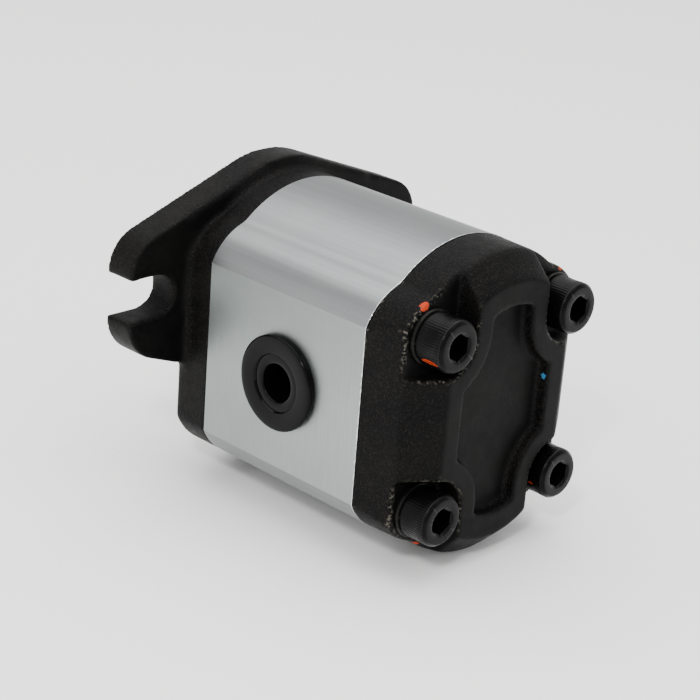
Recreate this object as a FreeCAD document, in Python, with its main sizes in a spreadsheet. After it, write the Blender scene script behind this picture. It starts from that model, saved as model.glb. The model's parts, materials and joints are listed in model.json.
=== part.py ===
import FreeCAD, Part
import math
import os
import Sketcher

# Two-bolt flange gear pump. The origin is where the drive shaft's axis meets the mounting face.
# +X runs from the mounting face to the rear cover, so the shaft sticks out along -X. +Z is up,
# and the driven gear lies straight below the drive gear. Lengths are in millimetres.

Vector = FreeCAD.Vector

driving = {
    # outline shared by the body and both covers, measured from its own centre
    "halfWidth": 31.6,
    "crownRadius": 32.3,
    "crownCentreUp": 7.0,
    "cornerRadius": 16.0,
    "cornerCentreAcross": 17.05,
    "cornerCentreUp": 15.95,
    "valleyRadius": 6.0,
    # stations along the drive axis
    "plateThickness": 9.3,
    "neckLength": 8.0,
    "bodyLength": 53.2,
    "rimHeight": 11.6,
    "domeHeight": 6.1,
    "seatHeight": 10.9,
    # mounting flange
    "pilotRadius": 25.4,
    "pilotHeight": 6.35,
    "flangeRadius": 29.8,
    "earReach": 50.3,
    "earSlopeDegrees": 19.9,
    "earCornerRadius": 11.0,
    "slotPitch": 82.55,
    "slotRadius": 5.5,
    "spotRadius": 8.8,
    "spotDepth": 0.4,
    "overrun": 6.0,
    "blockStart": 2.0,
    "blockChamfer": 4.75,
    # rear cover
    "rimDraft": 0.4,
    "rimSideDraft": 1.8,
    "faceInset": 6.3,
    "faceSideInset": 10.5,
    "pocketRadius": 9.0,
    "recessDepth": 3.2,
    "recessHalfWidth": 15.3,
    "recessNeckRadius": 14.6,
    "recessTopInset": 12.7,
    # gears and shafts
    "centreDistance": 26.0,
    "teeth": 10,
    "pressureDegrees": 25.0,
    "tipRadius": 15.6,
    "rootRadius": 9.75,
    "backlash": 0.24,
    "gearWidth": 19.2,
    "gearBore": 15.7,
    "journalRadius": 8.0,
    "tailRadius": 6.35,
    "tailLength": 24.5,
    "shoulderOut": 6.5,
    "shaftChamfer": 0.8,
    "keyWidth": 3.175,
    "keyLength": 14.0,
    "keyDepth": 1.9,
    "keyFromEnd": 4.5,
    # bearings
    "axialPlay": 0.05,
    "blockRadius": 15.65,
    "bushRadius": 9.3,
    "bushBore": 8.04,
    "bushSetback": 0.6,
    "reliefDepth": 1.5,
    "reliefHalfHeight": 2.4,
    "reliefInner": 2.2,
    "balanceInner": 11.6,
    "balanceOuter": 13.2,
    "backupOuter": 14.4,
    "balanceDepth": 1.4,
    "balanceSide": 1.5,
    # joint seals and dowels
    "ringInner": 16.55,
    "ringOuter": 18.05,
    "ringDepth": 1.2,
    "dowelRadius": 2.0,
    "dowelDepth": 5.0,
    "dowelAcross": 25.6,
    "endReliefRadius": 8.7,
    "endReliefDepth": 2.2,
    # shaft seal and its circlip
    "sealRadius": 14.0,
    "sealWidth": 7.0,
    "sealWall": 1.0,
    "sealLipBore": 8.05,
    "sealBottom": 4.2,
    "sealFlangeBore": 10.6,
    "sealTipFromEnd": 2.4,
    "sealTipHalf": 0.8,
    "sealLipWall": 1.7,
    "sealFoot": 1.4,
    "circlipThickness": 1.1,
    "circlipGroove": 0.9,
    "circlipInner": 12.3,
    "circlipSetIn": 1.2,
    "springRadius": 0.6,
    "springGap": 0.02,
    # cover screws
    "screwAcross": 21.6,
    "screwUp": 22.0,
    "screwRadius": 4.0,
    "screwLength": 75.0,
    "headRadius": 6.5,
    "headHeight": 8.0,
    "hexHalfFlats": 3.0,
    "hexDepth": 4.4,
    "washerRadius": 6.95,
    "washerThickness": 1.2,
    "boltHoleRadius": 4.4,
    "tappedRadius": 4.02,
    "tappedDepth": 12.5,
    # ports and their shipping plugs
    "leftPortRadius": 9.2,
    "leftPortDepth": 15.0,
    "leftPassageRadius": 6.5,
    "leftPlugRadius": 12.1,
    "rightPortRadius": 7.4,
    "rightPortDepth": 14.0,
    "rightPassageRadius": 5.0,
    "rightPlugRadius": 10.6,
    "plugThickness": 2.1,
    "plugWellRadius": 4.8,
    "plugHubRadius": 7.2,
    "plugHubDrop": 0.7,
    "plugLength": 9.0,
    "plugClearance": 0.25,
    "plugEdge": 0.5,
    "plugTaper": 0.6,
    "plugWall": 1.0,
    "plugLift": 0.05,
}


class Size:
    """A length that carries its number and the spreadsheet expression that it comes from."""

    def __init__(self, number, text):
        self.number = number
        self.text = text

    def __add__(self, other):
        other = asSize(other)
        return Size(self.number + other.number, f"({self.text} + {other.text})")

    def __sub__(self, other):
        other = asSize(other)
        return Size(self.number - other.number, f"({self.text} - {other.text})")

    def __mul__(self, other):
        other = asSize(other)
        return Size(self.number * other.number, f"({self.text} * {other.text})")

    def __neg__(self):
        return Size(-self.number, f"(0 - {self.text})")


def asSize(value):
    return value if isinstance(value, Size) else Size(float(value), repr(float(value)))


class Sizes:
    """The driving dimensions by name, read back from the spreadsheet."""


def fillSheet(doc):
    sheet = doc.addObject("Spreadsheet::Sheet", "Dimensions")
    for row, (name, number) in enumerate(driving.items(), start=1):
        sheet.set(f"A{row}", name)
        sheet.set(f"B{row}", str(number))
        sheet.setAlias(f"B{row}", name)
    doc.recompute()
    sizes = Sizes()
    for name in driving:
        setattr(sizes, name, Size(float(sheet.get(name)), f"Dimensions.{name}"))
    return sizes


doc = FreeCAD.newDocument("GearPump")
d = fillSheet(doc)

# stations and centres that follow from the driving dimensions
zero = asSize(0)
frontJoint = d.plateThickness + d.neckLength
rearJoint = frontJoint + d.bodyLength
rimTop = rearJoint + d.rimHeight
rearFace = rimTop + d.domeHeight
seatFace = rearJoint + d.seatHeight
centreUp = -(d.centreDistance * 0.5)
drivenUp = -d.centreDistance
portAlong = frontJoint + d.bodyLength * 0.5
blockLength = (d.bodyLength - d.gearWidth - d.axialPlay * 4) * 0.5
frontBlockStart = frontJoint + d.axialPlay
gearStart = frontBlockStart + blockLength + d.axialPlay
gearEnd = gearStart + d.gearWidth
rearBlockStart = gearEnd + d.axialPlay
rearBlockEnd = rearBlockStart + blockLength
journalSetback = 0.5
screwPlaces = {
    "upper_left": (-d.screwAcross, centreUp + d.screwUp),
    "upper_right": (d.screwAcross, centreUp + d.screwUp),
    "lower_left": (-d.screwAcross, centreUp - d.screwUp),
    "lower_right": (d.screwAcross, centreUp - d.screwUp),
}
shaftPlaces = {"drive": zero, "driven": drivenUp}
subParts = []


# ---------------------------------------------------------------- sketch and feature helpers

def newBody(label):
    body = doc.addObject("PartDesign::Body", label)
    body.Label = label
    return body


def keep(part, label):
    part.Label = label
    subParts.append(part)
    return part


def newSketch(body, name, role, offset=zero):
    """A sketch on one of the body's origin planes, moved along the plane's normal by offset."""
    plane = next(item for item in body.Origin.OriginFeatures if item.Role == role)
    sketch = body.newObject("Sketcher::SketchObject", name)
    sketch.AttachmentSupport = [(plane, "")]
    sketch.MapMode = "FlatFace"
    sketch.setExpression("AttachmentOffset.Base.z", offset.text)
    return sketch


def bindPoint(sketch, geometry, point, place):
    for kind, length in (("DistanceX", asSize(place[0])), ("DistanceY", asSize(place[1]))):
        constraint = Sketcher.Constraint(kind, -1, 1, geometry, point, length.number)
        index = sketch.addConstraint(constraint)
        sketch.setExpression(f"Constraints[{index}]", length.text)


def flat(place):
    return Vector(asSize(place[0]).number, asSize(place[1]).number, 0)


def addPolygon(sketch, corners):
    """A closed outline of straight edges, with every corner bound to the spreadsheet."""
    first = sketch.GeometryCount
    for index, corner in enumerate(corners):
        after = corners[(index + 1) % len(corners)]
        sketch.addGeometry(Part.LineSegment(flat(corner), flat(after)), False)
    for index in range(len(corners)):
        following = first + (index + 1) % len(corners)
        sketch.addConstraint(Sketcher.Constraint("Coincident", first + index, 2, following, 1))
    for index, corner in enumerate(corners):
        bindPoint(sketch, first + index, 1, corner)


def addCircle(sketch, centre, radius):
    circle = sketch.addGeometry(Part.Circle(flat(centre), Vector(0, 0, 1), radius.number), False)
    bindPoint(sketch, circle, 3, centre)
    index = sketch.addConstraint(Sketcher.Constraint("Radius", circle, radius.number))
    sketch.setExpression(f"Constraints[{index}]", radius.text)


def addEdges(sketch, edges):
    """A closed chain of edges whose places are worked out from the sheet in code."""
    first = sketch.GeometryCount
    sketch.addGeometry(edges, False)
    for index in range(len(edges)):
        sketch.addConstraint(Sketcher.Constraint("Block", first + index))


def pad(body, sketch, length):
    feature = body.newObject("PartDesign::Pad", f"{sketch.Name}_pad")
    feature.Profile = sketch
    feature.setExpression("Length", length.text)
    return feature


def pocket(body, sketch, length=None, reverse=False):
    """Cuts against the sketch's normal, or along it with reverse; with no length it cuts through."""
    feature = body.newObject("PartDesign::Pocket", f"{sketch.Name}_pocket")
    feature.Profile = sketch
    feature.Reversed = reverse
    if length is None:
        feature.Type = "ThroughAll"
    else:
        feature.setExpression("Length", length.text)
    return feature


def turned(label, corners, up=zero, across=zero):
    """A body turned about its own X axis from (along, radius) corners, then set on its axis."""
    body = newBody(label)
    sketch = newSketch(body, f"{label}_section", "XZ_Plane")
    addPolygon(sketch, corners)
    turning = body.newObject("PartDesign::Revolution", f"{label}_turning")
    turning.Profile = sketch
    turning.ReferenceAxis = (sketch, ["H_Axis"])
    turning.Angle = 360
    body.setExpression("Placement.Base.y", across.text)
    body.setExpression("Placement.Base.z", up.text)
    return body


def bored(body, name, corners):
    """Turns a stepped hole out of the body about the drive axis."""
    sketch = newSketch(body, name, "XZ_Plane")
    addPolygon(sketch, corners)
    groove = body.newObject("PartDesign::Groove", f"{name}_groove")
    groove.Profile = sketch
    groove.ReferenceAxis = (sketch, ["H_Axis"])
    groove.Angle = 360
    return groove


def cylinder(name, start, length, radius, up=zero, across=zero):
    """A Part cylinder that lies along X."""
    solid = doc.addObject("Part::Cylinder", name)
    solid.Placement = FreeCAD.Placement(Vector(0, 0, 0), FreeCAD.Rotation(Vector(0, 1, 0), 90))
    solid.setExpression("Radius", radius.text)
    solid.setExpression("Height", length.text)
    solid.setExpression("Placement.Base.x", start.text)
    solid.setExpression("Placement.Base.y", across.text)
    solid.setExpression("Placement.Base.z", up.text)
    return solid


def block(name, low, high):
    """A Part box between two corners."""
    solid = doc.addObject("Part::Box", name)
    for side, start, end in zip(("Length", "Width", "Height"), low, high):
        solid.setExpression(side, (asSize(end) - asSize(start)).text)
    for axis, start in zip("xyz", low):
        solid.setExpression(f"Placement.Base.{axis}", asSize(start).text)
    return solid


def joined(name, pieces):
    solid = doc.addObject("Part::MultiFuse", name)
    solid.Shapes = pieces
    return solid


def cut(name, base, tool):
    solid = doc.addObject("Part::Cut", name)
    solid.Base = base
    solid.Tool = tool
    return solid


def common(name, base, tool):
    solid = doc.addObject("Part::Common", name)
    solid.Base = base
    solid.Tool = tool
    return solid


# ---------------------------------------------------------------- plane geometry

def arc(start, middle, end):
    return Part.Arc(Vector(*start, 0), Vector(*middle, 0), Vector(*end, 0))


def line(start, end):
    return Part.LineSegment(Vector(*start, 0), Vector(*end, 0))


def along(centre, towards, distance):
    """The point at a distance from centre, in the direction of towards."""
    step = math.hypot(towards[0] - centre[0], towards[1] - centre[1])
    return tuple(c + (t - c) * distance / step for c, t in zip(centre, towards))


def arcMiddle(centre, start, end, radius):
    """The middle of the short arc from start to end about centre."""
    chord = ((start[0] + end[0]) / 2, (start[1] + end[1]) / 2)
    return along(centre, chord, radius)


def circlesMeet(first, firstRadius, second, secondRadius):
    """The crossing of two circles that lies further from the middle of the section."""
    apart = math.hypot(second[0] - first[0], second[1] - first[1])
    reach = (apart ** 2 + firstRadius ** 2 - secondRadius ** 2) / (2 * apart)
    rise = math.sqrt(firstRadius ** 2 - reach ** 2)
    ux, uz = (second[0] - first[0]) / apart, (second[1] - first[1]) / apart
    foot = (first[0] + ux * reach, first[1] + uz * reach)
    choices = [(foot[0] - uz * rise * side, foot[1] + ux * rise * side) for side in (1, -1)]
    return max(choices, key=lambda place: math.hypot(*place))


def mirrored(place, across, up):
    """A quarter point (from the outline's centre) moved to another quarter of the section."""
    return (place[0] * across, centreUp.number + place[1] * up)


def outline(inset=0.0, sideInset=None):
    """The pump's section, drawn inwards by inset: flat sides, round corners and low crowns,
    with a small valley between each corner and its crown. It runs anticlockwise."""
    halfWidth = d.halfWidth.number - (inset if sideInset is None else sideInset)
    crownCentre = (0, d.crownCentreUp.number)
    cornerCentre = (d.cornerCentreAcross.number, d.cornerCentreUp.number)
    crown = d.crownRadius.number - inset
    corner = d.cornerRadius.number - inset
    valley = d.valleyRadius.number + inset
    valleyCentre = circlesMeet(crownCentre, crown + valley, cornerCentre, corner + valley)
    sideTop = (halfWidth, cornerCentre[1] + math.sqrt(corner ** 2 - (halfWidth - cornerCentre[0]) ** 2))
    cornerEnd = along(cornerCentre, valleyCentre, corner)
    crownEnd = along(crownCentre, valleyCentre, crown)
    cornerMiddle = arcMiddle(cornerCentre, sideTop, cornerEnd, corner)
    valleyMiddle = arcMiddle(valleyCentre, cornerEnd, crownEnd, valley)
    crownTop = (0, crownCentre[1] + crown)

    def quarter(across, up):
        rising = (sideTop, cornerMiddle, cornerEnd, valleyMiddle, crownEnd)
        points = [mirrored(place, across, up) for place in rising]
        return points if across * up > 0 else points[::-1]

    edges = []
    for up in (1, -1):
        rising = quarter(up, up)
        falling = quarter(-up, up)
        edges.append(arc(*rising[0:3]))
        edges.append(arc(*rising[2:5]))
        edges.append(arc(rising[4], mirrored(crownTop, 1, up), falling[0]))
        edges.append(arc(*falling[0:3]))
        edges.append(arc(*falling[2:5]))
        edges.append(line(falling[4], mirrored(sideTop, -up, -up)))
    return edges


def figureEight(radius):
    """Two overlapping circles about the drive and driven axes, as one outline."""
    half = d.centreDistance.number / 2
    waist = math.sqrt(radius ** 2 - half ** 2)
    left, right = (-waist, centreUp.number), (waist, centreUp.number)
    lowest = (0, drivenUp.number - radius)
    return [arc(right, (0, radius), left), arc(left, lowest, right)]


def stadium(radius):
    """The seal groove's path: half circles about the two axes, joined by straight sides."""
    low = drivenUp.number
    return [
        arc((radius, 0), (0, radius), (-radius, 0)),
        line((-radius, 0), (-radius, low)),
        arc((-radius, low), (0, low - radius), (radius, low)),
        line((radius, low), (radius, 0)),
    ]


def outlineSketch(body, name, offset, edges):
    sketch = newSketch(body, name, "YZ_Plane", offset)
    addEdges(sketch, edges)
    return sketch


def addHoles(body, name, offset, places, radius, depth=None, reverse=False):
    sketch = newSketch(body, name, "YZ_Plane", offset)
    for place in places:
        addCircle(sketch, place, radius)
    return pocket(body, sketch, depth, reverse)


def taperedForm(name, sections):
    """A solid along X through sections, each a station and its outline's edges in the same order,
    with a straight-sided face between each edge and the next section's edge."""
    turn = FreeCAD.Rotation(Vector(0, 1, 0), Vector(0, 0, 1), Vector(1, 0, 0), "XYZ")
    chains = []
    for station, edges in sections:
        shapes = [edge.toShape() for edge in edges]
        for shape in shapes:
            shape.Placement = FreeCAD.Placement(Vector(station.number, 0, 0), turn)
        chains.append(shapes)
    faces = [Part.Face(Part.Wire(chain)) for chain in (chains[0], chains[-1])]
    for lower, upper in zip(chains, chains[1:]):
        faces.extend(Part.makeRuledSurface(first, second) for first, second in zip(lower, upper))
    shell = Part.Shell(faces)
    shell.sewShape()
    solid = Part.Solid(shell)
    if solid.Volume < 0:
        solid.reverse()
    form = doc.addObject("Part::Feature", name)
    form.Shape = solid
    return form


dowelPlaces = [(-d.dowelAcross, centreUp), (d.dowelAcross, centreUp)]


# ---------------------------------------------------------------- front cover

def flangeOutline():
    """The two-bolt flange: a round middle, with straight flanks running out to blunt ears."""
    slope = math.radians(d.earSlopeDegrees.number)
    radius = d.flangeRadius.number
    corner = d.earCornerRadius.number
    reach = d.earReach.number
    tangent = (radius * math.sin(slope), radius * math.cos(slope))
    cornerAcross = reach - corner
    cornerUp = (radius - corner - cornerAcross * math.sin(slope)) / math.cos(slope)
    onFlank = (cornerAcross + corner * math.sin(slope), cornerUp + corner * math.cos(slope))
    turn = (math.pi / 2 - slope) / 2
    onCorner = (cornerAcross + corner * math.cos(turn), cornerUp + corner * math.sin(turn))
    onEnd = (reach, cornerUp)

    def at(place, across, up):
        return (place[0] * across, place[1] * up)

    edges = []
    for side in (1, -1):
        edges.append(line(at(onEnd, side, -side), at(onEnd, side, side)))
        edges.append(arc(at(onEnd, side, side), at(onCorner, side, side), at(onFlank, side, side)))
        edges.append(line(at(onFlank, side, side), at(tangent, side, side)))
        edges.append(arc(at(tangent, side, side), (0, radius * side), at(tangent, -side, side)))
        edges.append(line(at(tangent, -side, side), at(onFlank, -side, side)))
        edges.append(arc(at(onFlank, -side, side), at(onCorner, -side, side), at(onEnd, -side, side)))
    return edges


def frontCover():
    form = taperedForm("block_form", [
        (d.blockStart, outline(d.blockChamfer.number)),
        (d.blockStart + d.blockChamfer, outline()),
        (frontJoint, outline()),
    ])
    body = newBody("front_cover")
    body.BaseFeature = form
    plate = outlineSketch(body, "flange_outline", zero, flangeOutline())
    pad(body, plate, d.plateThickness)
    pilot = newSketch(body, "pilot_outline", "YZ_Plane", -d.pilotHeight)
    addCircle(pilot, (zero, zero), d.pilotRadius)
    pad(body, pilot, d.pilotHeight)

    for side, name in ((-1, "left"), (1, "right")):
        spot = newSketch(body, f"{name}_spotface", "YZ_Plane", d.plateThickness)
        addCircle(spot, (d.slotPitch * (0.5 * side), zero), d.spotRadius)
        pocket(body, spot, d.spotDepth)
        slot = newSketch(body, f"{name}_slot", "YZ_Plane", d.plateThickness)
        centre = d.slotPitch.number / 2 * side
        outside = (d.earReach.number + d.overrun.number) * side
        wide = d.slotRadius.number
        edges = [
            arc((centre, wide * side), (centre - wide * side, 0), (centre, -wide * side)),
            line((centre, -wide * side), (outside, -wide * side)),
            line((outside, -wide * side), (outside, wide * side)),
            line((outside, wide * side), (centre, wide * side)),
        ]
        addEdges(slot, edges)
        pocket(body, slot, d.plateThickness + 1)

    sealStart = -d.pilotHeight
    clipStart = sealStart + d.circlipSetIn
    clipEnd = clipStart + d.circlipThickness + 0.1
    grooveRadius = d.sealRadius + d.circlipGroove
    bored(body, "seal_bore", [
        (sealStart - 1, zero),
        (sealStart - 1, d.sealRadius),
        (clipStart, d.sealRadius),
        (clipStart, grooveRadius),
        (clipEnd, grooveRadius),
        (clipEnd, d.sealRadius),
        (d.sealBottom, d.sealRadius),
        (d.sealBottom, d.endReliefRadius),
        (frontJoint + 1, d.endReliefRadius),
        (frontJoint + 1, zero),
    ])
    addHoles(body, "driven_relief", frontJoint, [(zero, drivenUp)], d.endReliefRadius, d.endReliefDepth)
    addHoles(body, "tapped_holes", frontJoint, screwPlaces.values(), d.tappedRadius, d.tappedDepth)
    addHoles(body, "front_dowel_holes", frontJoint, dowelPlaces, d.dowelRadius, d.dowelDepth)
    groove = newSketch(body, "front_seal_groove", "YZ_Plane", frontJoint)
    addEdges(groove, stadium(d.ringOuter.number))
    addEdges(groove, stadium(d.ringInner.number))
    pocket(body, groove, d.ringDepth)
    keep(body, "front_cover")


# ---------------------------------------------------------------- pump body

def pumpBody():
    body = newBody("pump_body")
    pad(body, outlineSketch(body, "body_outline", frontJoint, outline()), d.bodyLength)
    bores = outlineSketch(body, "gear_bores", rearJoint, figureEight(d.gearBore.number))
    pocket(body, bores, d.bodyLength + 1)
    addHoles(body, "bolt_holes", rearJoint, screwPlaces.values(), d.boltHoleRadius, d.bodyLength + 1)
    addHoles(body, "body_front_dowels", frontJoint, dowelPlaces, d.dowelRadius, d.dowelDepth, True)
    addHoles(body, "body_rear_dowels", rearJoint, dowelPlaces, d.dowelRadius, d.dowelDepth)
    sides = (
        ("left", d.halfWidth, False, d.leftPortRadius, d.leftPortDepth, d.leftPassageRadius),
        ("right", -d.halfWidth, True, d.rightPortRadius, d.rightPortDepth, d.rightPassageRadius),
    )
    for name, offset, reverse, radius, depth, passage in sides:
        port = newSketch(body, f"{name}_port", "XZ_Plane", offset)
        addCircle(port, (portAlong, centreUp), radius)
        pocket(body, port, depth, reverse)
        channel = newSketch(body, f"{name}_passage", "XZ_Plane", offset)
        addCircle(channel, (portAlong, centreUp), passage)
        pocket(body, channel, d.halfWidth - 5, reverse)
    keep(body, "pump_body")


# ---------------------------------------------------------------- rear cover

def recessOutline():
    """The shallow panel in the rear face: wide in the middle, waisted round the four screws."""
    half = d.recessHalfWidth.number
    screw = (d.screwAcross.number, d.screwUp.number)
    neck = d.recessNeckRadius.number
    crown = d.crownRadius.number - d.recessTopInset.number
    sideTop = (half, screw[1] - math.sqrt(neck ** 2 - (screw[0] - half) ** 2))
    neckTop = (screw[0] - neck, screw[1])
    neckMiddle = arcMiddle(screw, sideTop, neckTop, neck)
    crownEnd = (neckTop[0], d.crownCentreUp.number + math.sqrt(crown ** 2 - neckTop[0] ** 2))
    crownTop = (0, d.crownCentreUp.number + crown)
    edges = []
    for up in (1, -1):
        def at(place, across):
            return mirrored(place, across * up, up)
        edges.append(arc(at(sideTop, 1), at(neckMiddle, 1), at(neckTop, 1)))
        edges.append(line(at(neckTop, 1), at(crownEnd, 1)))
        edges.append(arc(at(crownEnd, 1), at(crownTop, 1), at(crownEnd, -1)))
        edges.append(line(at(crownEnd, -1), at(neckTop, -1)))
        edges.append(arc(at(neckTop, -1), at(neckMiddle, -1), at(sideTop, -1)))
        edges.append(line(at(sideTop, -1), mirrored(sideTop, -up, -up)))
    return edges


def screwPocket(across, up):
    """The corner cut away round one screw: two straight walls joined by an arc about the screw."""
    centreAcross = d.screwAcross.number
    centreHeight = d.screwUp.number
    radius = d.pocketRadius.number
    far = d.halfWidth.number + d.overrun.number
    inner = centreAcross - radius
    lower = centreHeight - radius
    bend = radius * math.sqrt(0.5)

    def at(y, z):
        return mirrored((y, z), across, up)

    return [
        line(at(far, lower), at(far, far)),
        line(at(far, far), at(inner, far)),
        line(at(inner, far), at(inner, centreHeight)),
        arc(at(inner, centreHeight), at(centreAcross - bend, centreHeight - bend), at(centreAcross, lower)),
        line(at(centreAcross, lower), at(far, lower)),
    ]


def rearCover():
    form = taperedForm("cover_form", [
        (rearJoint, outline()),
        (rimTop, outline(d.rimDraft.number, d.rimSideDraft.number)),
        (rearFace, outline(d.faceInset.number, d.faceSideInset.number)),
    ])
    body = newBody("rear_cover")
    body.BaseFeature = form
    corners = newSketch(body, "screw_pockets", "YZ_Plane", seatFace)
    for across in (1, -1):
        for up in (1, -1):
            addEdges(corners, screwPocket(across, up))
    pocket(body, corners, d.domeHeight + d.overrun, True)
    recess = newSketch(body, "face_recess", "YZ_Plane", rearFace)
    addEdges(recess, recessOutline())
    pocket(body, recess, d.recessDepth)
    addHoles(body, "cover_bolt_holes", seatFace, screwPlaces.values(), d.boltHoleRadius, d.seatHeight + 1)
    places = [(zero, zero), (zero, drivenUp)]
    addHoles(body, "end_reliefs", rearJoint, places, d.endReliefRadius, d.endReliefDepth, True)
    addHoles(body, "cover_dowel_holes", rearJoint, dowelPlaces, d.dowelRadius, d.dowelDepth, True)
    groove = newSketch(body, "rear_seal_groove", "YZ_Plane", rearJoint)
    addEdges(groove, stadium(d.ringOuter.number))
    addEdges(groove, stadium(d.ringInner.number))
    pocket(body, groove, d.ringDepth, True)
    keep(body, "rear_cover")


# ---------------------------------------------------------------- gears and shafts

def involute(angle):
    return math.tan(angle) - angle


def gearWheel(name, up, firstTooth):
    """An involute spur wheel along X, with one tooth pointing at the angle firstTooth."""
    teeth = int(d.teeth.number)
    tip, root = d.tipRadius.number, d.rootRadius.number
    pitch = d.centreDistance.number / 2
    pressure = math.radians(d.pressureDegrees.number)
    base = pitch * math.cos(pressure)
    toothWidth = math.pi * pitch / teeth - d.backlash.number / 2
    halfAtPitch = toothWidth / 2 / pitch
    start = gearStart.number
    flankPoints = 7

    def point(radius, angle):
        return Vector(start, radius * math.cos(angle), up.number + radius * math.sin(angle))

    def halfAngle(radius):
        return halfAtPitch + involute(pressure) - involute(math.acos(base / radius))

    radii = [base + (tip - base) * (index / (flankPoints - 1)) ** 1.6 for index in range(flankPoints)]
    step = 2 * math.pi / teeth
    edges = []
    for tooth in range(teeth):
        middle = firstTooth + tooth * step
        rising = [point(radius, middle - halfAngle(radius)) for radius in radii]
        falling = [point(radius, middle + halfAngle(radius)) for radius in reversed(radii)]
        rootIn = point(root, middle - halfAngle(base))
        rootOut = point(root, middle + halfAngle(base))
        rootMiddle = point(root, middle + step / 2)
        rootNext = point(root, middle + step - halfAngle(base))
        edges.append(Part.LineSegment(rootIn, rising[0]).toShape())
        for flank in (rising, falling):
            curve = Part.BSplineCurve()
            curve.interpolate(flank)
            edges.append(curve.toShape())
            if flank is rising:
                edges.append(Part.Arc(rising[-1], point(tip, middle), falling[0]).toShape())
        edges.append(Part.LineSegment(falling[-1], rootOut).toShape())
        edges.append(Part.Arc(rootOut, rootMiddle, rootNext).toShape())
    face = Part.Face(Part.Wire(Part.__sortEdges__(edges)))
    wheel = doc.addObject("Part::Feature", name)
    wheel.Shape = face.extrude(Vector(d.gearWidth.number, 0, 0))
    return wheel


def shafts():
    chamfer = d.shaftChamfer
    journal = d.journalRadius
    frontEnd = frontJoint + journalSetback
    rearEnd = rearJoint - journalSetback
    shoulder = -d.shoulderOut
    tailEnd = shoulder - d.tailLength
    driveSection = [
        (tailEnd, zero),
        (tailEnd, d.tailRadius - chamfer),
        (tailEnd + chamfer, d.tailRadius),
        (shoulder, d.tailRadius),
        (shoulder + 0.4, journal - 0.4),
        (shoulder + 0.8, journal),
        (rearEnd - chamfer, journal),
        (rearEnd, journal - chamfer),
        (rearEnd, zero),
    ]
    drivenSection = [
        (frontEnd, zero),
        (frontEnd, journal - chamfer),
        (frontEnd + chamfer, journal),
        (rearEnd - chamfer, journal),
        (rearEnd, journal - chamfer),
        (rearEnd, zero),
    ]
    halfStep = math.pi / d.teeth.number
    driveShaft = turned("drive_shaft_turning", driveSection)
    driveWheel = gearWheel("drive_wheel", zero, -math.pi / 2)
    driveSolid = joined("drive_shaft_with_wheel", [driveShaft, driveWheel])
    keyStart = tailEnd + d.keyFromEnd
    keyEnd = keyStart + d.keyLength
    keyFloor = d.tailRadius - d.keyDepth
    half = d.keyWidth * 0.5
    keyway = block("keyway", (keyStart, -half, keyFloor), (keyEnd, half, d.tailRadius + 2))
    keep(cut("drive_gear_shaft", driveSolid, keyway), "drive_gear_shaft")
    key = block("shaft_key", (keyStart, -half, keyFloor), (keyEnd, half, keyFloor + d.keyWidth))
    keep(key, "shaft_key")
    drivenShaft = turned("driven_shaft_turning", drivenSection, drivenUp)
    drivenWheel = gearWheel("driven_wheel", drivenUp, math.pi / 2 + halfStep)
    keep(joined("driven_gear_shaft", [drivenShaft, drivenWheel]), "driven_gear_shaft")


# ---------------------------------------------------------------- bearing blocks, bushes, seals

def threeShape(name, start, depth, inner, outer):
    """A ring shaped like a 3: half rings about the two axes that join between them."""
    discs = [cylinder(f"{name}_outer_{side}", start, depth, outer, up) for side, up in shaftPlaces.items()]
    holes = [cylinder(f"{name}_inner_{side}", start, depth, inner, up) for side, up in shaftPlaces.items()]
    rings = cut(f"{name}_rings", joined(f"{name}_discs", discs), joined(f"{name}_holes", holes))
    reach = d.blockRadius + 1
    half = block(
        f"{name}_half", (start, d.balanceSide, drivenUp - reach), (start + depth, reach, reach)
    )
    return common(name, rings, half)


def bearingBlock(side, start, outerFace, gearFace):
    """One floating block: figure-eight outside, two bush bores, a seal groove on the outer face
    and two relief pockets on the face beside the gears."""
    body = newBody(f"{side}_block_form")
    shape = outlineSketch(body, f"{side}_block_outline", start, figureEight(d.blockRadius.number))
    pad(body, shape, blockLength)
    places = [(zero, up) for up in shaftPlaces.values()]
    addHoles(body, f"{side}_bush_bores", start + blockLength, places, d.bushRadius, blockLength + 1)
    inward = side == "rear"
    relief = newSketch(body, f"{side}_reliefs", "YZ_Plane", gearFace)
    for sign in (1, -1):
        near, far = d.reliefInner * sign, d.blockRadius * sign
        low, high = centreUp - d.reliefHalfHeight, centreUp + d.reliefHalfHeight
        addPolygon(relief, [(near, low), (far, low), (far, high), (near, high)])
    pocket(body, relief, d.reliefDepth, inward)
    grooveStart = outerFace if side == "front" else outerFace - d.balanceDepth
    depth = d.balanceDepth
    tool = threeShape(f"{side}_balance_groove", grooveStart, depth, d.balanceInner, d.backupOuter)
    keep(cut(f"{side}_bearing_block", body, tool), f"{side}_bearing_block")
    seal = threeShape(f"{side}_balance_seal", grooveStart, depth, d.balanceInner, d.balanceOuter)
    keep(seal, f"{side}_balance_seal")
    backup = threeShape(f"{side}_backup_ring", grooveStart, depth, d.balanceOuter, d.backupOuter)
    keep(backup, f"{side}_backup_ring")
    bushStart = start + d.bushSetback
    bushEnd = start + blockLength - d.bushSetback
    for shaft, up in shaftPlaces.items():
        section = [
            (bushStart, d.bushBore),
            (bushStart, d.bushRadius),
            (bushEnd, d.bushRadius),
            (bushEnd, d.bushBore),
        ]
        label = f"{side}_{shaft}_bush"
        keep(turned(label, section, up), label)


def bodySeal(side, start):
    body = newBody(f"{side}_body_seal")
    sketch = newSketch(body, f"{side}_seal_path", "YZ_Plane", start)
    addEdges(sketch, stadium(d.ringOuter.number))
    addEdges(sketch, stadium(d.ringInner.number))
    pad(body, sketch, d.ringDepth)
    keep(body, f"{side}_body_seal")


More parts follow.
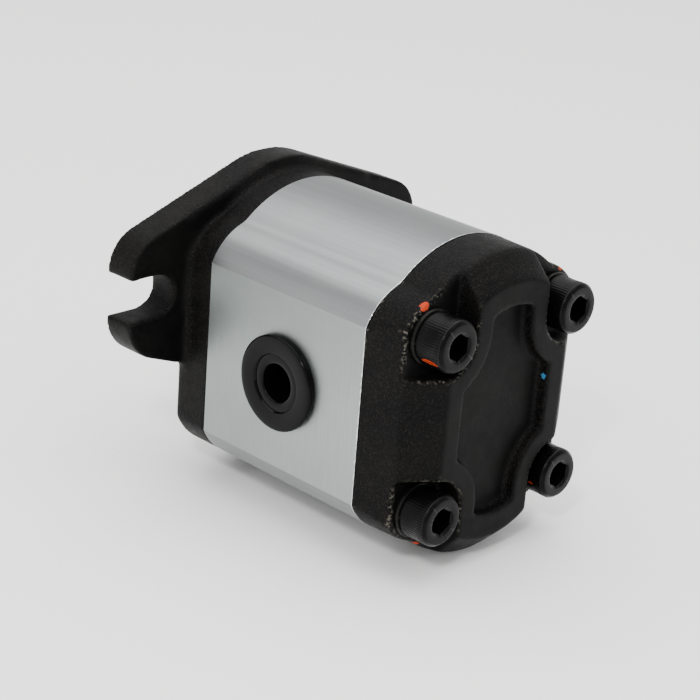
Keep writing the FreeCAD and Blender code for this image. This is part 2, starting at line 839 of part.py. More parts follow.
def dowels():
    for side, joint in (("front", frontJoint), ("rear", rearJoint)):
        for hand, sign in (("left", -1), ("right", 1)):
            length = d.dowelDepth - 0.2
            section = [
                (joint - length, zero),
                (joint - length, d.dowelRadius - 0.4),
                (joint - length + 0.4, d.dowelRadius),
                (joint + length - 0.4, d.dowelRadius),
                (joint + length, d.dowelRadius - 0.4),
                (joint + length, zero),
            ]
            label = f"{side}_dowel_{hand}"
            keep(turned(label, section, centreUp, d.dowelAcross * sign), label)


# ---------------------------------------------------------------- shaft seal and circlip

def shaftSeal():
    end = d.sealBottom
    start = end - d.sealWidth
    wall = d.sealWall
    flangeInner = d.sealFlangeBore
    tipHalf = d.sealTipHalf
    skirt = d.sealLipBore + d.sealLipWall
    foot = flangeInner + d.sealFoot
    case = [
        (start, d.sealRadius - wall),
        (start, d.sealRadius),
        (end, d.sealRadius),
        (end, flangeInner),
        (end - wall, flangeInner),
        (end - wall, d.sealRadius - wall),
    ]
    keep(turned("shaft_seal_case", case), "shaft_seal_case")
    lipTip = start + d.sealTipFromEnd
    lip = [
        (lipTip - tipHalf, d.sealLipBore + tipHalf),
        (lipTip, d.sealLipBore),
        (lipTip + tipHalf, d.sealLipBore + tipHalf * 0.6),
        (end - wall * 1.5, flangeInner - tipHalf),
        (end, flangeInner - tipHalf),
        (end, flangeInner),
        (end - wall, flangeInner),
        (end - wall, foot),
        (end - wall * 2, foot),
        (end - wall * 2, flangeInner),
        (lipTip + tipHalf, skirt),
        (lipTip - tipHalf, skirt),
    ]
    keep(turned("shaft_seal_lip", lip), "shaft_seal_lip")
    spring = doc.addObject("Part::Torus", "seal_garter_spring")
    spring.Placement = FreeCAD.Placement(Vector(0, 0, 0), FreeCAD.Rotation(Vector(0, 1, 0), 90))
    spring.setExpression("Radius1", (d.sealLipBore + d.sealLipWall + d.springRadius + d.springGap).text)
    spring.setExpression("Radius2", d.springRadius.text)
    spring.setExpression("Placement.Base.x", lipTip.text)
    keep(spring, "seal_garter_spring")


def circlip():
    start = -d.pilotHeight + d.circlipSetIn + 0.05
    length = d.circlipThickness
    outer = d.sealRadius + d.circlipGroove - 0.1
    lugUp = -(d.circlipInner + 0.2)
    lugAcross, lugRadius, eyeRadius, gapHalf = 3.2, asSize(1.5), asSize(0.75), 1.8
    ring = cut(
        "circlip_ring",
        cylinder("circlip_outer", start, length, outer),
        cylinder("circlip_inner", start - 1, length + 2, d.circlipInner),
    )
    gap = block("circlip_gap", (start - 1, -gapHalf, -outer - 1), (start + length + 1, gapHalf, -gapHalf))
    opened = cut("circlip_opened", ring, gap)
    lugs = [
        cylinder(f"circlip_lug_{name}", start, length, lugRadius, lugUp, asSize(sign * lugAcross))
        for name, sign in (("left", -1), ("right", 1))
    ]
    eyes = [
        cylinder(f"circlip_eye_{name}", start - 1, length + 2, eyeRadius, lugUp, asSize(sign * lugAcross))
        for name, sign in (("left", -1), ("right", 1))
    ]
    whole = joined("circlip_whole", [opened] + lugs)
    keep(cut("seal_circlip", whole, joined("circlip_eyes", eyes)), "seal_circlip")


# ---------------------------------------------------------------- cover screws and washers

def coverScrew(place, across, up):
    under = seatFace + d.washerThickness
    head = under + d.headHeight
    tip = under - d.screwLength
    edge = 0.5
    chamfer = 0.8
    label = f"cover_screw_{place}"
    body = turned(label, [
        (tip, zero),
        (tip, d.screwRadius - chamfer),
        (tip + chamfer, d.screwRadius),
        (under, d.screwRadius),
        (under, d.headRadius),
        (head - edge, d.headRadius),
        (head, d.headRadius - edge),
        (head, zero),
    ], up, across)
    socket = newSketch(body, f"{label}_hexagon", "YZ_Plane", head)
    reach = d.hexHalfFlats * (1 / math.cos(math.pi / 6))
    turns = [math.pi / 3 * index for index in range(6)]
    addPolygon(socket, [(reach * math.cos(turn), reach * math.sin(turn)) for turn in turns])
    pocket(body, socket, d.hexDepth)
    keep(body, label)
    washer = [
        (seatFace, d.screwRadius + 0.2),
        (seatFace, d.washerRadius),
        (under, d.washerRadius),
        (under, d.screwRadius + 0.2),
    ]
    keep(turned(f"washer_{place}", washer, up, across), f"washer_{place}")


# ---------------------------------------------------------------- shipping plugs in the ports

def portPlug(label, side, plugRadius, portRadius):
    """A hollow plug that pushes into a port; side is -1 for the -Y face and 1 for the +Y face."""
    body = newBody(label)
    sketch = newSketch(body, f"{label}_section", "XY_Plane")
    stem = portRadius - d.plugClearance
    top = d.plugThickness
    well = d.plugWellRadius
    hub = d.plugHubRadius
    addPolygon(sketch, [
        (zero, d.plugWall - d.plugLength),
        (well, d.plugWall - d.plugLength),
        (well, top - d.plugHubDrop),
        (hub, top - d.plugHubDrop),
        (hub, top),
        (plugRadius - d.plugEdge, top),
        (plugRadius, top - d.plugEdge),
        (plugRadius, zero),
        (stem, zero),
        (stem - d.plugTaper, -d.plugLength),
        (zero, -d.plugLength),
    ])
    turning = body.newObject("PartDesign::Revolution", f"{label}_turning")
    turning.Profile = sketch
    turning.ReferenceAxis = (sketch, ["V_Axis"])
    turning.Angle = 360
    turn = 180 if side < 0 else 0
    body.Placement = FreeCAD.Placement(Vector(0, 0, 0), FreeCAD.Rotation(Vector(0, 0, 1), turn))
    body.setExpression("Placement.Base.x", portAlong.text)
    body.setExpression("Placement.Base.y", ((d.halfWidth + d.plugLift) * side).text)
    body.setExpression("Placement.Base.z", centreUp.text)
    keep(body, label)


# ---------------------------------------------------------------- build, check, write

frontCover()
pumpBody()
rearCover()
shafts()
bearingBlock("front", frontBlockStart, frontBlockStart, frontBlockStart + blockLength)
bearingBlock("rear", rearBlockStart, rearBlockEnd, rearBlockStart)
bodySeal("front", frontJoint - d.ringDepth)
bodySeal("rear", rearJoint)
dowels()
shaftSeal()
circlip()
for place, (across, up) in screwPlaces.items():
    coverScrew(place, across, up)
portPlug("left_port_plug", -1, d.leftPlugRadius, d.leftPortRadius)
portPlug("right_port_plug", 1, d.rightPlugRadius, d.rightPortRadius)
doc.recompute()

failed = [item.Name for item in doc.Objects if {"Invalid", "Error"} & set(item.State)]
for part in subParts:
    shape = part.Shape
    if shape.isNull() or not shape.isValid() or not shape.Solids:
        failed.append(part.Label)
if failed:
    raise RuntimeError(f"these objects failed: {failed}")

os.makedirs("parts", exist_ok=True)
for part in subParts:
    part.Shape.exportStep(f"parts/{part.Label}.step")
    print(f"{part.Label}: {len(part.Shape.Solids)} solid, {part.Shape.Volume / 1000:.3f} cm3")
print(f"{len(subParts)} nodes")
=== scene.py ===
import json
import math

import bmesh
import bpy
import numpy as np
from mathutils import Matrix, Vector, noise


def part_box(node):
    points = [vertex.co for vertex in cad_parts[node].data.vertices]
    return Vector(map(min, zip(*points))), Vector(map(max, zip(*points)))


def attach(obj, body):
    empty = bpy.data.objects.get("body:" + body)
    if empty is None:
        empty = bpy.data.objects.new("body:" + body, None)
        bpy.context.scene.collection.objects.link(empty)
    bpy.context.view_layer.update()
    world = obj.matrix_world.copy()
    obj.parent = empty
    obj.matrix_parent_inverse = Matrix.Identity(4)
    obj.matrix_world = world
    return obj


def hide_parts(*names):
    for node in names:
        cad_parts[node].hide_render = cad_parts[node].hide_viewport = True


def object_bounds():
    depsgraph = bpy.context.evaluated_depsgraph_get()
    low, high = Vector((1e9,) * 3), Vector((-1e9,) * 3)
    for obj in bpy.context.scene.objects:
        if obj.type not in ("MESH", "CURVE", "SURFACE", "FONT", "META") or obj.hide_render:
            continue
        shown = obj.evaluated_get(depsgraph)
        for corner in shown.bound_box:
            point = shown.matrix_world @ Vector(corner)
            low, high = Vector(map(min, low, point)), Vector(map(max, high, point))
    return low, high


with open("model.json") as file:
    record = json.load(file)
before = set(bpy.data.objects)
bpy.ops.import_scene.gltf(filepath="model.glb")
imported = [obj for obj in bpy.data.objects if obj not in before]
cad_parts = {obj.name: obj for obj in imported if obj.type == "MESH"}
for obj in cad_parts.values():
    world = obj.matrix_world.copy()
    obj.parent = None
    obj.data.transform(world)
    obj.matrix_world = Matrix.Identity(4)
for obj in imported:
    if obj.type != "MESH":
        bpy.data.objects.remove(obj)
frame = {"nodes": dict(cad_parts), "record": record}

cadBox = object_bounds()
nodes = frame["nodes"]
mm = 0.001

# the section's centre, and one screw's place in the quarter that all four are mirrored from
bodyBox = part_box("pump_body")
pumpMiddle = (bodyBox[0][2] + bodyBox[1][2]) / 2
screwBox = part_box("cover_screw_upper_right")
screwQuarter = (
    0, (screwBox[0][1] + screwBox[1][1]) / 2, (screwBox[0][2] + screwBox[1][2]) / 2 - pumpMiddle,
)
print("frame loaded:", len(nodes), "nodes")


def hexColour(text):
    # sRGB hex to the linear values that shaders take
    values = [int(text[i:i + 2], 16) / 255 for i in (0, 2, 4)]
    return [v / 12.92 if v <= 0.04045 else ((v + 0.055) / 1.055) ** 2.4 for v in values] + [1]


def perMetre(size):
    # a noise scale that gives features this many millimetres across
    return 1000 / size


def addNode(tree, kind, settings, links={}):
    # lower-case keys are the node's own options, the others are its input sockets
    node = tree.nodes.new(kind)
    for key, value in settings.items():
        if isinstance(key, str) and key[0].islower():
            setattr(node, key, value)
        else:
            node.inputs[key].default_value = value
    for key, source in links.items():
        tree.links.new(source, node.inputs[key])
    return node


def startMaterial(name, colour, rough, metal=0.0, **sockets):
    material = bpy.data.materials.new(name)
    material.use_nodes = True
    tree = material.node_tree
    shader = tree.nodes["Principled BSDF"]
    shader.inputs["Base Color"].default_value = hexColour(colour)
    shader.inputs["Roughness"].default_value = rough
    shader.inputs["Metallic"].default_value = metal
    for key, value in sockets.items():
        shader.inputs[key].default_value = value
    material.diffuse_color = hexColour(colour)
    return material, tree, shader, addNode(tree, "ShaderNodeTexCoord", {}).outputs["Object"]


def paintDots(tree, place, under, marks, ragged=None):
    # dots of paint pen over a colour: centre, reach, how much each direction is squeezed, tint
    for spot, radius, stretch, tint in marks:
        offset = addNode(tree, "ShaderNodeVectorMath", {"operation": "SUBTRACT", 1: spot}, {0: place})
        squeezed = addNode(
            tree, "ShaderNodeVectorMath", {"operation": "MULTIPLY", 1: stretch}, {0: offset.outputs[0]},
        )
        away = addNode(
            tree, "ShaderNodeVectorMath", {"operation": "LENGTH"}, {0: squeezed.outputs[0]},
        ).outputs["Value"]
        if ragged:
            # rough ground breaks the dot's edge up, by 0.8 mm either way
            away = addNode(
                tree, "ShaderNodeMath", {"operation": "MULTIPLY_ADD", 1: 1.6 * mm}, {0: ragged, 2: away},
            ).outputs[0]
            radius += 0.8 * mm
        inside = addNode(tree, "ShaderNodeMath", {"operation": "LESS_THAN", 1: radius}, {0: away})
        mark = addNode(
            tree, "ShaderNodeMix", {"data_type": "RGBA", 7: hexColour(tint)},
            {"Factor": inside.outputs[0], 6: under},
        )
        under = mark.outputs[2]
    return under


# painted castings

castingLook = {
    "paint": "050506", "paintThin": "090908", "speckle": "1f1c19", "dust": "5a574f",
    "sandGrain": 0.42, "moundSize": 3.2, "roughLow": 0.4, "roughHigh": 0.5,
    "wornNear": 8.5, "wornFar": 12.5,
}


def castPaintMaterial(name, marks=()):
    # grey iron poured in a sand mould, then sprayed satin black: a soft sheen over a fine sandy grain,
    # with edges knocked through to the metal and dots of paint pen beside the tightened screws
    material, tree, shader, place = startMaterial(
        name, castingLook["paint"], 0.45, **{"IOR": 1.5, "Specular IOR Level": 0.055},
    )
    sand = addNode(
        tree, "ShaderNodeTexNoise", {"Scale": perMetre(castingLook["sandGrain"]), "Detail": 3.0},
        {"Vector": place},
    )
    mounds = addNode(
        tree, "ShaderNodeTexNoise", {"Scale": perMetre(castingLook["moundSize"]), "Detail": 2.0},
        {"Vector": place},
    )
    cloud = addNode(tree, "ShaderNodeTexNoise", {"Scale": perMetre(14), "Detail": 4.0}, {"Vector": place})
    thin = addNode(
        tree, "ShaderNodeMapRange", {"From Min": 0.42, "From Max": 0.68}, {"Value": cloud.outputs["Fac"]},
    )
    colour = addNode(tree, "ShaderNodeMix", {
        "data_type": "RGBA", 6: hexColour(castingLook["paint"]), 7: hexColour(castingLook["paintThin"]),
    }, {"Factor": thin.outputs[0]})
    # sharp outward edges lose their paint where the grain stands proud, most of all round the screw
    # pockets
    edge = addNode(tree, "ShaderNodeNewGeometry", {})
    facing = addNode(tree, "ShaderNodeSeparateXYZ", {}, {0: edge.outputs["True Normal"]})
    # the rear panel was ground smooth before painting, so its sand grain is faint
    grainy = addNode(
        tree, "ShaderNodeMapRange", {"From Min": 0.8, "From Max": 0.97, "To Min": 1.0, "To Max": 0.18},
        {"Value": facing.outputs["X"]},
    )
    tips = addNode(
        tree, "ShaderNodeMapRange", {"From Min": 0.5, "From Max": 0.66, "To Max": 0.8},
        {"Value": sand.outputs["Fac"]},
    )
    shown = addNode(
        tree, "ShaderNodeMath", {"operation": "MULTIPLY"}, {0: tips.outputs[0], 1: grainy.outputs[0]},
    )
    grained = addNode(tree, "ShaderNodeMix", {"data_type": "RGBA", 7: hexColour(castingLook["speckle"])},
                      {"Factor": shown.outputs[0], 6: colour.outputs[2]})
    fromMiddle = addNode(
        tree, "ShaderNodeVectorMath", {"operation": "SUBTRACT", 1: (0, 0, pumpMiddle)}, {0: place},
    )
    quarter = addNode(tree, "ShaderNodeVectorMath", {"operation": "ABSOLUTE"}, {0: fromMiddle.outputs[0]})
    fromScrew = addNode(
        tree, "ShaderNodeVectorMath", {"operation": "SUBTRACT", 1: screwQuarter}, {0: quarter.outputs[0]},
    )
    acrossOnly = addNode(
        tree, "ShaderNodeVectorMath", {"operation": "MULTIPLY", 1: (0, 1, 1)}, {0: fromScrew.outputs[0]},
    )
    screwReach = addNode(
        tree, "ShaderNodeVectorMath", {"operation": "LENGTH"}, {0: acrossOnly.outputs[0]},
    )
    pocketWear = addNode(tree, "ShaderNodeMapRange", {
        "From Min": castingLook["wornNear"] * mm, "From Max": castingLook["wornFar"] * mm,
        "To Min": 1.0, "To Max": 0.0}, {"Value": screwReach.outputs["Value"]})
    onCover = addNode(tree, "ShaderNodeSeparateXYZ", {}, {0: place})
    behindBody = addNode(
        tree, "ShaderNodeMath", {
            "operation": "GREATER_THAN", 1: bodyBox[1][0],
        }, {0: onCover.outputs["X"]},
    )
    wearHere = addNode(
        tree, "ShaderNodeMath", {"operation": "MULTIPLY"},
        {0: pocketWear.outputs[0], 1: behindBody.outputs[0]},
    )
    edgeBand = addNode(
        tree, "ShaderNodeMapRange", {"From Min": 0.507, "From Max": 0.532},
        {"Value": edge.outputs["Pointiness"]},
    )
    chips = addNode(
        tree, "ShaderNodeTexNoise", {"Scale": perMetre(0.8), "Detail": 3.0}, {"Vector": place},
    )
    chipBand = addNode(
        tree, "ShaderNodeMapRange", {"From Min": 0.53, "From Max": 0.62}, {"Value": chips.outputs["Fac"]},
    )
    chipped = addNode(
        tree, "ShaderNodeMath", {"operation": "MULTIPLY"},
        {0: edgeBand.outputs[0], 1: chipBand.outputs[0]},
    )
    worn = addNode(
        tree, "ShaderNodeMath", {"operation": "MULTIPLY"}, {
            0: chipped.outputs[0], 1: wearHere.outputs[0],
        },
    )
    wornColour = addNode(tree, "ShaderNodeMix", {"data_type": "RGBA", 7: hexColour(castingLook["dust"])},
                         {"Factor": worn.outputs[0], 6: grained.outputs[2]})
    last = paintDots(tree, place, wornColour.outputs[2], marks, chips.outputs["Fac"])
    tree.links.new(last, shader.inputs["Base Color"])
    rough = addNode(tree, "ShaderNodeMapRange", {
        "From Min": 0.3, "From Max": 0.7, "To Min": castingLook["roughLow"],
        "To Max": castingLook["roughHigh"],
    }, {"Value": mounds.outputs["Fac"]})
    tree.links.new(rough.outputs[0], shader.inputs["Roughness"])
    coarse = addNode(
        tree, "ShaderNodeBump", {"Strength": 0.5, "Distance": 0.12 * mm},
        {"Height": mounds.outputs["Fac"]},
    )
    fine = addNode(
        tree, "ShaderNodeBump", {"Distance": 0.24 * mm},
        {"Height": sand.outputs["Fac"], "Strength": grainy.outputs[0], "Normal": coarse.outputs[0]},
    )
    tree.links.new(fine.outputs[0], shader.inputs["Normal"])
    return material


# inspection marks beside the tightened screws
orangePaint, bluePaint = "a8371b", "2f6f96"
coverMarks = [
    (Vector((80.9, -24.0, 16.7)) * mm, 1.15 * mm, (1, 1, 0.9), orangePaint),
    (Vector((81.0, 24.6, 16.2)) * mm, 0.7 * mm, (1, 0.75, 1), orangePaint),
    (Vector((80.6, -19.2, -45.3)) * mm, 0.75 * mm, (1, 0.8, 0.8), orangePaint),
    (Vector((86.9, 15.2, -8.2)) * mm, 0.6 * mm, (0.9, 1, 0.8), bluePaint),
]
screwMarks = {
    "cover_screw_upper_left": [(Vector((86.6, -27.0, 5.4)) * mm, 0.75 * mm, (0.3, 1, 1), orangePaint)],
    "cover_screw_lower_right": [(Vector((86.6, 15.5, -37.0)) * mm, 0.4 * mm, (0.5, 1, 1), orangePaint)],
}


# metals, rubber and plastic

def drawnMetal(name, colour, darker, rough, along, grain, bump=0.003):
    # a metal whose tool marks run along one axis, or round the shaft where along is yz
    material, tree, shader, place = startMaterial(name, colour, rough, 1.0)
    stretch = [1.0 if axis in along else 30.0 for axis in "xyz"]
    lines = addNode(tree, "ShaderNodeMapping", {"Scale": stretch}, {"Vector": place})
    grainNoise = addNode(
        tree, "ShaderNodeTexNoise", {"Scale": perMetre(grain * 30), "Detail": 4.0},
        {"Vector": lines.outputs[0]},
    )
    cloud = addNode(tree, "ShaderNodeTexNoise", {"Scale": perMetre(9), "Detail": 3.0}, {"Vector": place})
    blend = addNode(
        tree, "ShaderNodeMath", {"operation": "MULTIPLY_ADD", 1: 0.45},
        {0: grainNoise.outputs["Fac"], 2: cloud.outputs["Fac"]},
    )
    shade = addNode(
        tree, "ShaderNodeMapRange", {"From Min": 0.5, "From Max": 0.95}, {"Value": blend.outputs[0]},
    )
    tone = addNode(
        tree, "ShaderNodeMix", {"data_type": "RGBA", 6: hexColour(darker), 7: hexColour(colour)},
        {"Factor": shade.outputs[0]},
    )
    tree.links.new(tone.outputs[2], shader.inputs["Base Color"])
    rougher = addNode(tree, "ShaderNodeMapRange", {
        "From Min": 0.3, "From Max": 0.7, "To Min": rough * 0.94, "To Max": min(rough * 1.06, 1),
    }, {"Value": grainNoise.outputs["Fac"]})
    tree.links.new(rougher.outputs[0], shader.inputs["Roughness"])
    lift = addNode(
        tree, "ShaderNodeBump", {"Strength": 0.15, "Distance": bump * mm},
        {"Height": grainNoise.outputs["Fac"]},
    )
    tree.links.new(lift.outputs[0], shader.inputs["Normal"])
    return material


# paintedShade is the colour of the painted shade laid over the milled faces
bodyLook = {"milled": "a0a7a4", "milledDark": "8f9593", "extruded": "868889", "extrudedDark": "7e8081",
            "millLine": 0.4, "dieLine": 0.9, "paintedShade": "767c7a", "roughMilled": 0.42, "roughExtruded": 0.3}


def bodyMaterial():
    # an aluminium extrusion cut to length: die lines run along the shaft, the two port faces are milled
    # flat
    # with lines across, and the end faces are fly cut
    material, tree, shader, place = startMaterial("extrudedAluminium", bodyLook["extruded"], 0.35, 1.0)
    geometry = addNode(tree, "ShaderNodeNewGeometry", {})
    facing = addNode(tree, "ShaderNodeSeparateXYZ", {}, {0: geometry.outputs["True Normal"]})
    sideways = addNode(tree, "ShaderNodeMath", {"operation": "ABSOLUTE"}, {0: facing.outputs["Y"]})
    milled = addNode(
        tree, "ShaderNodeMath", {"operation": "GREATER_THAN", 1: 0.999}, {0: sideways.outputs[0]},
    )
    across = addNode(tree, "ShaderNodeMapping", {"Scale": (1, 1, 0.03)}, {"Vector": place})
    millNoise = addNode(
        tree, "ShaderNodeTexNoise",
        {"Scale": perMetre(bodyLook["millLine"]), "Detail": 5.0, "Roughness": 0.7},
        {"Vector": across.outputs[0]},
    )
    down = addNode(tree, "ShaderNodeMapping", {"Scale": (0.02, 1, 1)}, {"Vector": place})
    dieNoise = addNode(
        tree, "ShaderNodeTexNoise", {"Scale": perMetre(bodyLook["dieLine"]), "Detail": 4.0},
        {"Vector": down.outputs[0]},
    )
    cloud = addNode(tree, "ShaderNodeTexNoise", {"Scale": perMetre(18), "Detail": 3.0}, {"Vector": place})
    specks = addNode(
        tree, "ShaderNodeTexVoronoi", {"Scale": perMetre(2.6), "Randomness": 1.0}, {"Vector": place},
    )
    pick = addNode(tree, "ShaderNodeTexNoise", {"Scale": perMetre(7), "Detail": 2.0}, {"Vector": place})
    millShade = addNode(
        tree, "ShaderNodeMapRange", {"From Min": 0.3, "From Max": 0.7},
        {"Value": millNoise.outputs["Fac"]},
    )
    millColour = addNode(
        tree, "ShaderNodeMix",
        {"data_type": "RGBA", 6: hexColour(bodyLook["milledDark"]), 7: hexColour(bodyLook["milled"])},
        {"Factor": millShade.outputs[0]},
    )
    dieShade = addNode(
        tree, "ShaderNodeMapRange", {"From Min": 0.25, "From Max": 0.6},
        {"Value": dieNoise.outputs["Fac"]},
    )
    dieColour = addNode(
        tree, "ShaderNodeMix",
        {"data_type": "RGBA", 6: hexColour(bodyLook["extrudedDark"]), 7: hexColour(bodyLook["extruded"])},
        {"Factor": dieShade.outputs[0]},
    )
    # painted shade: the milled faces are darkened towards the flange and the top, in uneven clouds
    spread = addNode(tree, "ShaderNodeSeparateXYZ", {}, {0: place})
    fromFlange = addNode(
        tree, "ShaderNodeMapRange",
        {"From Min": bodyBox[0][0], "From Max": bodyBox[1][0], "To Min": 0.5, "To Max": 0.0},
        {"Value": spread.outputs["X"]},
    )
    towardsTop = addNode(
        tree, "ShaderNodeMapRange",
        {"From Min": pumpMiddle, "From Max": bodyBox[1][2], "To Min": 0.0, "To Max": 0.9},
        {"Value": spread.outputs["Z"]},
    )
    paintedShade = addNode(
        tree, "ShaderNodeMath", {"operation": "ADD"}, {
            0: fromFlange.outputs[0], 1: towardsTop.outputs[0],
        },
    )
    patchy = addNode(
        tree, "ShaderNodeMapRange", {"From Min": 0.3, "From Max": 0.7, "To Min": 0.5, "To Max": 1.2},
        {"Value": cloud.outputs["Fac"]},
    )
    paintedShadeMask = addNode(
        tree, "ShaderNodeMath", {"operation": "MULTIPLY", "use_clamp": True},
        {0: paintedShade.outputs[0], 1: patchy.outputs[0]},
    )
    shadedMilled = addNode(
        tree, "ShaderNodeMix", {"data_type": "RGBA", 7: hexColour(bodyLook["paintedShade"])},
        {"Factor": paintedShadeMask.outputs[0], 6: millColour.outputs[2]},
    )
    both = addNode(
        tree, "ShaderNodeMix", {"data_type": "RGBA"},
        {"Factor": milled.outputs[0], 6: dieColour.outputs[2], 7: shadedMilled.outputs[2]},
    )
    small = addNode(
        tree, "ShaderNodeMath", {"operation": "LESS_THAN", 1: 0.09}, {0: specks.outputs["Distance"]},
    )
    rare = addNode(
        tree, "ShaderNodeMath", {"operation": "GREATER_THAN", 1: 0.57}, {0: pick.outputs["Fac"]},
    )
    speckled = addNode(
        tree, "ShaderNodeMath", {"operation": "MULTIPLY"}, {0: small.outputs[0], 1: rare.outputs[0]},
    )
    dimmed = addNode(tree, "ShaderNodeMath", {"operation": "MULTIPLY", 1: 0.35}, {0: speckled.outputs[0]})
    marked = addNode(
        tree, "ShaderNodeMix", {"data_type": "RGBA", 7: hexColour("5d5a54")},
        {"Factor": dimmed.outputs[0], 6: both.outputs[2]},
    )
    veil = addNode(
        tree, "ShaderNodeMapRange", {"From Min": 0.35, "From Max": 0.75, "To Max": 0.25},
        {"Value": cloud.outputs["Fac"]},
    )
    final = addNode(
        tree, "ShaderNodeMix", {"data_type": "RGBA", 7: hexColour("949694")},
        {"Factor": veil.outputs[0], 6: marked.outputs[2]},
    )
    tree.links.new(final.outputs[2], shader.inputs["Base Color"])
    rough = addNode(
        tree, "ShaderNodeMapRange",
        {"To Min": bodyLook["roughExtruded"], "To Max": bodyLook["roughMilled"]},
        {"Value": milled.outputs[0]},
    )
    jitter = addNode(
        tree, "ShaderNodeMath", {"operation": "MULTIPLY_ADD", 1: 0.12},
        {0: millNoise.outputs["Fac"], 2: rough.outputs[0]},
    )
    tree.links.new(jitter.outputs[0], shader.inputs["Roughness"])
    heights = addNode(
        tree, "ShaderNodeMix", {"data_type": "FLOAT"},
        {"Factor": milled.outputs[0], 2: dieNoise.outputs["Fac"], 3: millNoise.outputs["Fac"]},
    )
    lift = addNode(
        tree, "ShaderNodeBump", {"Strength": 0.5, "Distance": 0.02 * mm}, {"Height": heights.outputs[0]},
    )
    tree.links.new(lift.outputs[0], shader.inputs["Normal"])
    return material


def softMaterial(name, colour, lighter, rough, grain, bump, **sockets):
    # moulded rubber or plastic: one colour with faint clouds and a fine skin
    material, tree, shader, place = startMaterial(name, colour, rough, 0.0, **sockets)
    cloud = addNode(tree, "ShaderNodeTexNoise", {"Scale": perMetre(4), "Detail": 3.0}, {"Vector": place})
    skin = addNode(
        tree, "ShaderNodeTexNoise", {"Scale": perMetre(grain), "Detail": 3.0}, {"Vector": place},
    )
    tone = addNode(
        tree, "ShaderNodeMix", {"data_type": "RGBA", 6: hexColour(colour), 7: hexColour(lighter)},
        {"Factor": cloud.outputs["Fac"]},
    )
    tree.links.new(tone.outputs[2], shader.inputs["Base Color"])
    vary = addNode(
        tree, "ShaderNodeMapRange", {"To Min": rough * 0.8, "To Max": rough * 1.2},
        {"Value": cloud.outputs["Fac"]},
    )
    tree.links.new(vary.outputs[0], shader.inputs["Roughness"])
    lift = addNode(
        tree, "ShaderNodeBump", {"Strength": 0.4, "Distance": bump * mm}, {"Height": skin.outputs["Fac"]},
    )
    tree.links.new(lift.outputs[0], shader.inputs["Normal"])
    return material


def blackOxideMaterial(name, marks=()):
    # chemically blackened steel, oiled: near-black with a warm grey bloom, and lighter edges that are
    # partly rubbed wear and partly a painted highlight on the chamfers and socket corners
    material, tree, shader, place = startMaterial(name, "0c0c0c", 0.3, 0.5, **{"Specular IOR Level": 0.1})
    bloom = addNode(
        tree, "ShaderNodeTexNoise", {"Scale": perMetre(2.4), "Detail": 4.0}, {"Vector": place},
    )
    tone = addNode(
        tree, "ShaderNodeMix", {"data_type": "RGBA", 6: hexColour("040405"), 7: hexColour("0f0e0e")},
        {"Factor": bloom.outputs["Fac"]},
    )
    edge = addNode(tree, "ShaderNodeNewGeometry", {})
    # lighter convex edges: rubbed wear together with a painted highlight
    wearAndPaintedHighlight = addNode(
        tree, "ShaderNodeMapRange", {"From Min": 0.52, "From Max": 0.62, "To Max": 0.5},
        {"Value": edge.outputs["Pointiness"]},
    )
    colour = addNode(
        tree, "ShaderNodeMix", {"data_type": "RGBA", 7: hexColour("3a3936")},
        {"Factor": wearAndPaintedHighlight.outputs[0], 6: tone.outputs[2]},
    )
    last = paintDots(tree, place, colour.outputs[2], marks)
    tree.links.new(last, shader.inputs["Base Color"])
    rough = addNode(
        tree, "ShaderNodeMapRange", {"To Min": 0.2, "To Max": 0.36}, {"Value": bloom.outputs["Fac"]},
    )
    tree.links.new(rough.outputs[0], shader.inputs["Roughness"])
    lift = addNode(
        tree, "ShaderNodeBump", {"Strength": 0.3, "Distance": 0.02 * mm}, {"Height": bloom.outputs["Fac"]},
    )
    tree.links.new(lift.outputs[0], shader.inputs["Normal"])
    return material


materials = {
    "body_metal": bodyMaterial(),
    # carburised and ground: pale grey, with fine lines round the journals
    "gear_steel": drawnMetal("groundGearSteel", "aeadaa", "979694", 0.27, "yz", 0.25),
    "block_metal": drawnMetal("turnedAluminium", "c3c6c8", "a5a8aa", 0.34, "z", 0.4),
    # rolled bushes lined with sintered bronze: warm and dull
    "bush_metal": drawnMetal("sinteredBronze", "a9875c", "7d6142", 0.46, "yz", 0.5),
    "bright_steel": drawnMetal("brightDrawnSteel", "b0b1b3", "979899", 0.28, "yz", 0.3),
    # the circlip is phosphated spring steel: dull dark grey, with no rubbed edges
    "seal_circlip": drawnMetal("phosphatedSpringSteel", "2b2b2a", "1d1d1d", 0.42, "yz", 0.4),
    "seal_rubber": softMaterial("nitrileRubber", "161616", "232323", 0.62, 0.3, 0.02, IOR=1.52),
    "backup_plastic": softMaterial("naturalNylon", "e2dcc9", "efeada", 0.42, 0.5, 0.01, IOR=1.53),
    # blow-off polyethylene caps: glossy where they left the mould
    "plug_plastic": softMaterial(
        "mouldedPolyethylene", "030303", "060607", 0.16, 0.8, 0.012,
        **{"IOR": 1.51, "Specular IOR Level": 0.08},
    ),
    "black_steel": blackOxideMaterial("blackOxideSteel"),
    "casting": castPaintMaterial("blackPaintedIron", coverMarks),
}
for item in frame["record"]["subparts"]:
    node = nodes[item["node"]]
    node.data.materials.clear()
    node.data.materials.append(materials.get(item["node"], materials[item["material_slot"]]))
print("materials assigned")


# castings with soft cast edges

castingShape = {
    "voxel": 0.42, "overallRounds": 2, "edgeRounds": 9, "edgeFade": 1.4, "neckRounds": 60,
    "neckReach": 3.0,
}


def copyOf(node, name):
    mesh = nodes[node].data.copy()
    copy = bpy.data.objects.new(name, mesh)
    bpy.context.scene.collection.objects.link(copy)
    return copy


def applyModifiers(piece):
    bpy.context.view_layer.update()
    graph = bpy.context.evaluated_depsgraph_get()
    mesh = bpy.data.meshes.new_from_object(piece.evaluated_get(graph))
    piece.modifiers.clear()
    old = piece.data
    piece.data = mesh
    bpy.data.meshes.remove(old)


